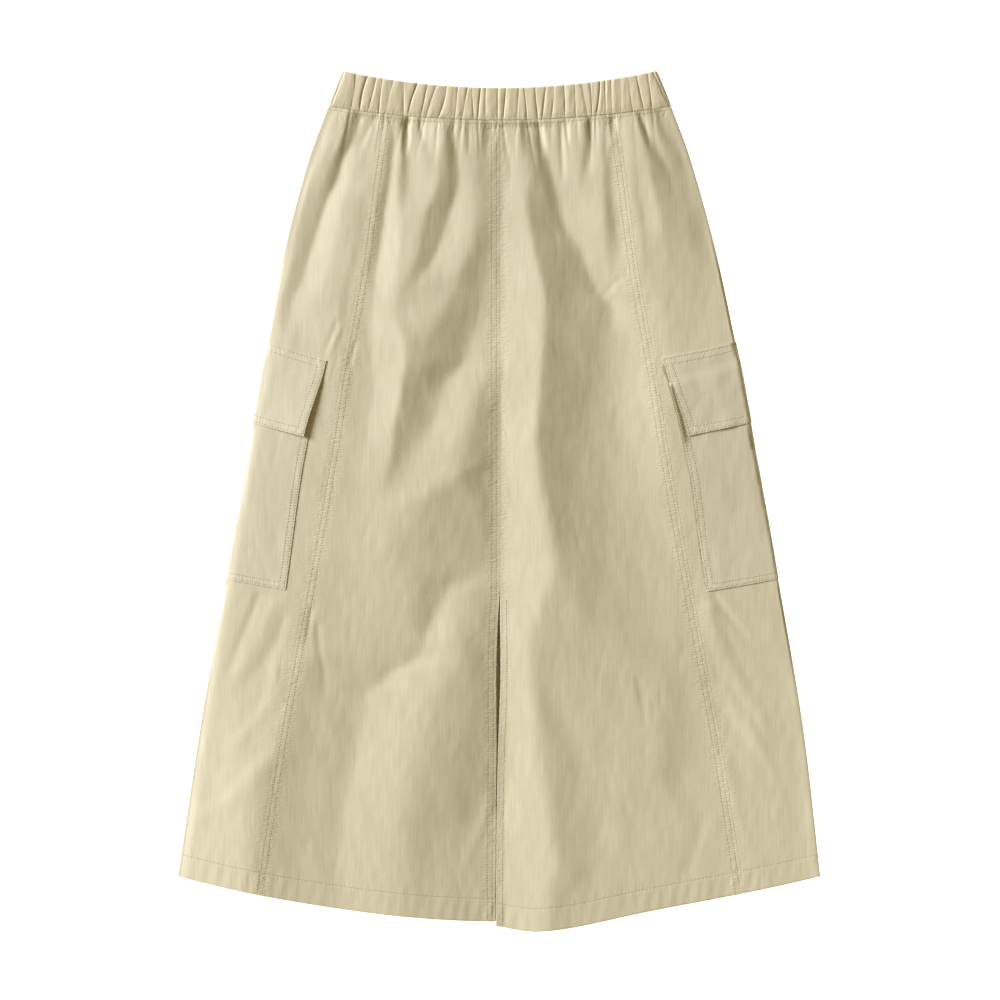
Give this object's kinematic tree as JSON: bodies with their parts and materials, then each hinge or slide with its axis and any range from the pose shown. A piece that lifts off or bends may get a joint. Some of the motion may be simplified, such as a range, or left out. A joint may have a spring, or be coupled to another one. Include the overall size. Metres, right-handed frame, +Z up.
{
  "type": "cargo utility skirt",
  "caption": "Long flared skirt laid flat, with a gathered elastic waistband, panel seams, a front slit, and a patch pocket with a flap wrapped round each side.",
  "frame": {"origin": "centre of the flat underside that the skirt lies on", "axes": "+Y along the skirt towards the waist, +X towards the viewer's right as the front is seen, +Z up out of the front"},
  "size_m": [0.642, 0.8598, 0.0121],
  "materials": {
    "waistband": "matte khaki twill, gathered over elastic",
    "skirt_cloth": "matte khaki cotton twill with fine vertical slubs",
    "pocket_cloth": "matte khaki cotton twill, topstitched"
  },
  "bodies": {
    "root": {"waistband": "waistband", "front_left": "skirt_cloth", "front_right": "skirt_cloth", "side_left": "skirt_cloth", "side_right": "skirt_cloth", "back": "skirt_cloth", "pocket_left": "pocket_cloth", "pocket_right": "pocket_cloth", "flap_left": "pocket_cloth", "flap_right": "pocket_cloth"}
  },
  "joints": []
}
